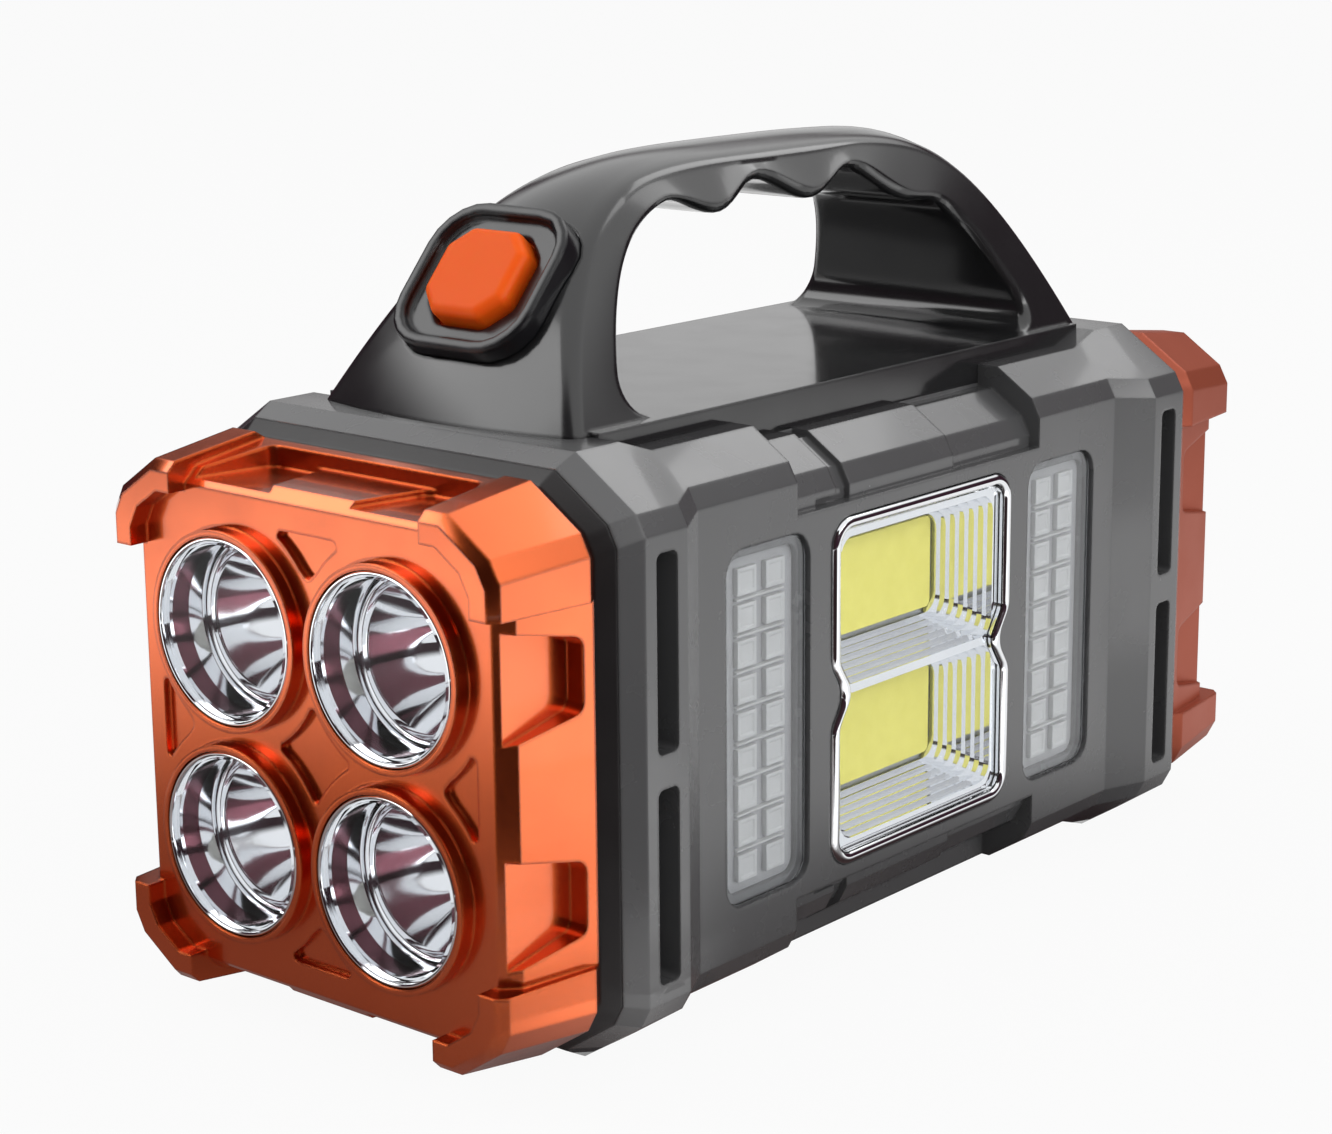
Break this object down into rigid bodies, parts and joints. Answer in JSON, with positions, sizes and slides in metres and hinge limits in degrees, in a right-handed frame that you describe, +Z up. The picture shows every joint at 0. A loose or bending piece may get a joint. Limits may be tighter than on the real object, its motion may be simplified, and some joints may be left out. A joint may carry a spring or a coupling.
{
  "type": "multi-beam hand lamp",
  "caption": "Rechargeable hand lamp with a block body, front spot lamps behind a plated bezel, side floodlights, collars, corner guards and a fixed arched carrying handle with a push button",
  "frame": {"origin": "middle of the bounding box, on the surface that the two collars stand on", "axes": "+Z up towards the handle, -Y out of the four front lamps, +X to the right seen from the front"},
  "size_m": [0.0734, 0.1612, 0.1053],
  "materials": {
    "housing_gloss": "glossy moulded ABS, mid grey",
    "handle_gloss": "glossy moulded ABS, dark grey",
    "bezel_plated": "metallised orange over moulded ABS",
    "cap_satin": "satin metallic orange over moulded ABS",
    "seal_rubber": "smooth black seal",
    "reflector_chrome": "vacuum-metallised mirror bright",
    "clear_lens": "clear polycarbonate",
    "strip_cover": "clear polycarbonate over diode arrays",
    "phosphor": "yellow phosphor",
    "white_board": "white solder mask",
    "white_diode": "white diode packages",
    "aluminium": "milled",
    "steel": "plated steel",
    "green_board": "green solder mask",
    "component_black": "black moulding",
    "cell_can": "wrapped cell can",
    "button_rubber": "soft-touch orange",
    "surround_gloss": "glossy black moulding",
    "cover_rubber": "matte black rubber"
  },
  "bodies": {
    "lamp": {"housing": "housing_gloss", "handle": "handle_gloss", "handle_screws": "steel", "front_bezel": "bezel_plated", "front_seal": "seal_rubber", "reflector_upper_left": "reflector_chrome", "reflector_upper_right": "reflector_chrome", "reflector_lower_left": "reflector_chrome", "reflector_lower_right": "reflector_chrome", "lens_upper_left": "clear_lens", "lens_upper_right": "clear_lens", "lens_lower_left": "clear_lens", "lens_lower_right": "clear_lens", "front_leds": "phosphor", "front_led_board": "white_board", "heat_sink": "aluminium", "front_board_screws": "steel", "rear_cap": "cap_satin", "rear_seal": "seal_rubber", "driver_board": "green_board", "driver_components": "component_black", "driver_board_screws": "steel", "charge_socket": "steel", "port_cover_tab": "cover_rubber", "flood_frame_right": "reflector_chrome", "flood_frame_left": "reflector_chrome", "flood_reflector_right": "reflector_chrome", "flood_reflector_left": "reflector_chrome", "flood_lens_right": "clear_lens", "flood_lens_left": "clear_lens", "flood_board_right": "aluminium", "flood_board_left": "aluminium", "flood_emitters_right": "phosphor", "flood_emitters_left": "phosphor", "strip_lens_front_right": "strip_cover", "strip_lens_rear_right": "strip_cover", "strip_lens_front_left": "strip_cover", "strip_lens_rear_left": "strip_cover", "strip_board_front_right": "white_board", "strip_board_rear_right": "white_board", "strip_board_front_left": "white_board", "strip_board_rear_left": "white_board", "strip_leds_front_right": "white_diode", "strip_leds_rear_right": "white_diode", "strip_leds_front_left": "white_diode", "strip_leds_rear_left": "white_diode", "switch_surround": "surround_gloss", "tact_switch": "steel", "switch_board": "green_board", "battery_holder": "component_black", "battery_cell_left": "cell_can", "battery_cell_right": "cell_can", "battery_contacts": "steel"},
    "button": {"power_button": "button_rubber", "switch_plunger": "component_black"},
    "cover": {"port_cover": "cover_rubber"}
  },
  "joints": [
    {"name": "button_press", "type": "slide", "parent": "lamp", "child": "button", "axis": [0, 0.7536, -0.6573], "range_m": [0, 0.0009], "stiffness_N_per_m": 400},
    {"name": "cover_swing", "type": "hinge", "parent": "lamp", "child": "cover", "pos_m": [0, 0.078, 0.0423], "axis": [1, 0, 0], "range_deg": [0, 110], "stiffness_Nm_per_rad": 0.005}
  ]
}
